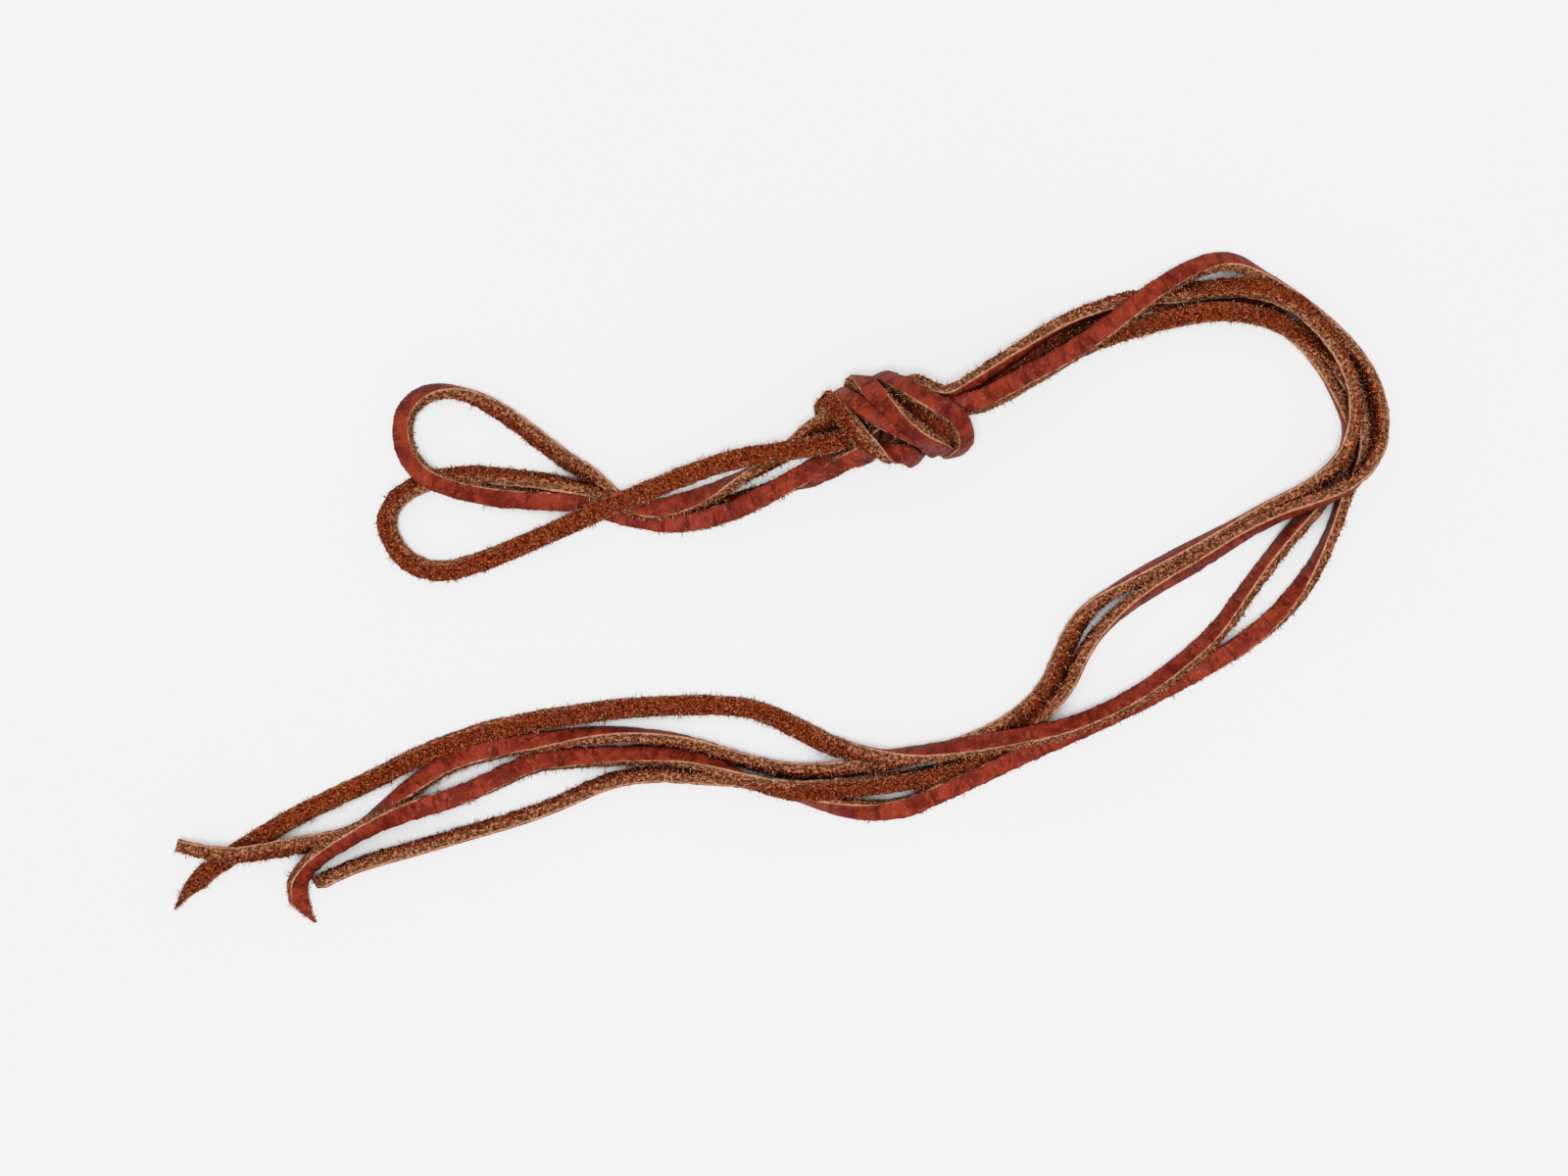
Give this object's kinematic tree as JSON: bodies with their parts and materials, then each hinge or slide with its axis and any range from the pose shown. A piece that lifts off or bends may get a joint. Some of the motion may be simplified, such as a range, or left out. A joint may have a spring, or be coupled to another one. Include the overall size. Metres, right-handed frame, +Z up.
{
  "type": "flat leather lace pair",
  "caption": "Two long flat leather laces, each folded in half and tied together by one overhand knot near the folds, lying loose with bias-cut ends.",
  "frame": {"origin": "centre of the bounding box, on the surface that the laces lie on", "axes": "+X towards the bend of the four strands, away from their cut ends; +Y towards the side that the knot lies on; +Z up from the surface"},
  "size_m": [0.1925, 0.107, 0.0165],
  "materials": {
    "lace_leather": "smooth red-brown grain on one face, fuzzy orange-brown flesh on the other"
  },
  "bodies": {
    "root": {"lace_1_tail_a": "lace_leather", "lace_1_knot_a": "lace_leather", "lace_1_bight": "lace_leather", "lace_1_knot_b": "lace_leather", "lace_1_tail_b": "lace_leather", "lace_2_tail_a": "lace_leather", "lace_2_knot_a": "lace_leather", "lace_2_bight": "lace_leather", "lace_2_knot_b": "lace_leather", "lace_2_tail_b": "lace_leather"}
  },
  "joints": []
}
